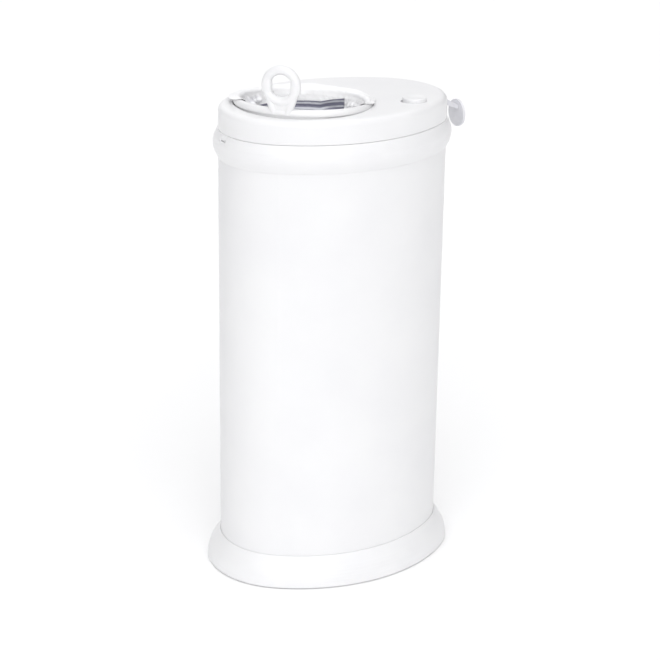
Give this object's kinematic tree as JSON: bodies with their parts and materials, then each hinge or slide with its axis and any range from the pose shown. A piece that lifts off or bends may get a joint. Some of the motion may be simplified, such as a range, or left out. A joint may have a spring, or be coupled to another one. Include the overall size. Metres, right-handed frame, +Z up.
{
  "type": "nappy bin",
  "caption": "Oval steel nappy bin on a flared foot, with a hinged lid, a push-button catch, a lift tab, and a turning mouth ring with a finger loop that twists the refill film shut.",
  "frame": {"origin": "on the floor, under the middle of the whole object's box; the drum's own middle lies 8 mm towards -X because the lift tab reaches out at +X", "axes": "+Z up, +X along the oval towards the lift tab, -Y towards the side of the push button and the finger loop"},
  "size_m": [0.332, 0.236, 0.6373],
  "materials": {
    "painted steel": "glossy white paint on sheet steel",
    "white plastic": "glossy white moulding",
    "grey plastic": "satin light grey moulding",
    "grey rubber": "soft matte rubber",
    "bare steel": "bright bare steel",
    "film": "thin white refill film"
  },
  "bodies": {
    "drum": {"foot_ring": "white plastic", "foot_pads": "grey rubber", "floor_pan": "white plastic", "floor_screws": "bare steel", "body_tube": "painted steel", "collar": "white plastic", "collar_screws": "bare steel", "hinge_pin": "bare steel"},
    "lid": {"lid_cover": "white plastic", "lid_pan": "white plastic", "lid_screws": "bare steel", "lid_gasket": "grey rubber", "throat_ring": "white plastic", "lift_tab": "grey plastic", "tab_screw": "bare steel", "button_guide": "white plastic", "button_spring": "bare steel", "bolt_spring": "bare steel"},
    "ring": {"twist_channel": "white plastic", "retaining_ring": "grey plastic", "film_pack": "film", "grip_rim": "white plastic", "liner_film": "film"},
    "button": {"button_cap": "white plastic"},
    "bolt": {"release_bolt": "grey plastic"}
  },
  "joints": [
    {"name": "lid_hinge", "type": "hinge", "parent": "drum", "child": "lid", "pos_m": [-0.1502, 0, 0.5455], "axis": [0, -1, 0], "range_deg": [0, 80]},
    {"name": "ring_turn", "type": "hinge", "parent": "lid", "child": "ring", "pos_m": [-0.049, 0, 0.578], "axis": [0, 0, 1], "continuous": true},
    {"name": "button_press", "type": "slide", "parent": "lid", "child": "button", "axis": [0, 0, -1], "range_m": [0, 0.004], "stiffness_N_per_m": 400, "springref_m": -0.004, "deforming": ["button_spring"]},
    {"name": "bolt_draw", "type": "slide", "parent": "lid", "child": "bolt", "axis": [-0.4982, 0.867, 0], "range_m": [0, 0.004], "deforming": ["bolt_spring"]}
  ],
  "couplings": [
    {"joint": "bolt_draw", "follows": "button_press", "ratio": 1}
  ]
}
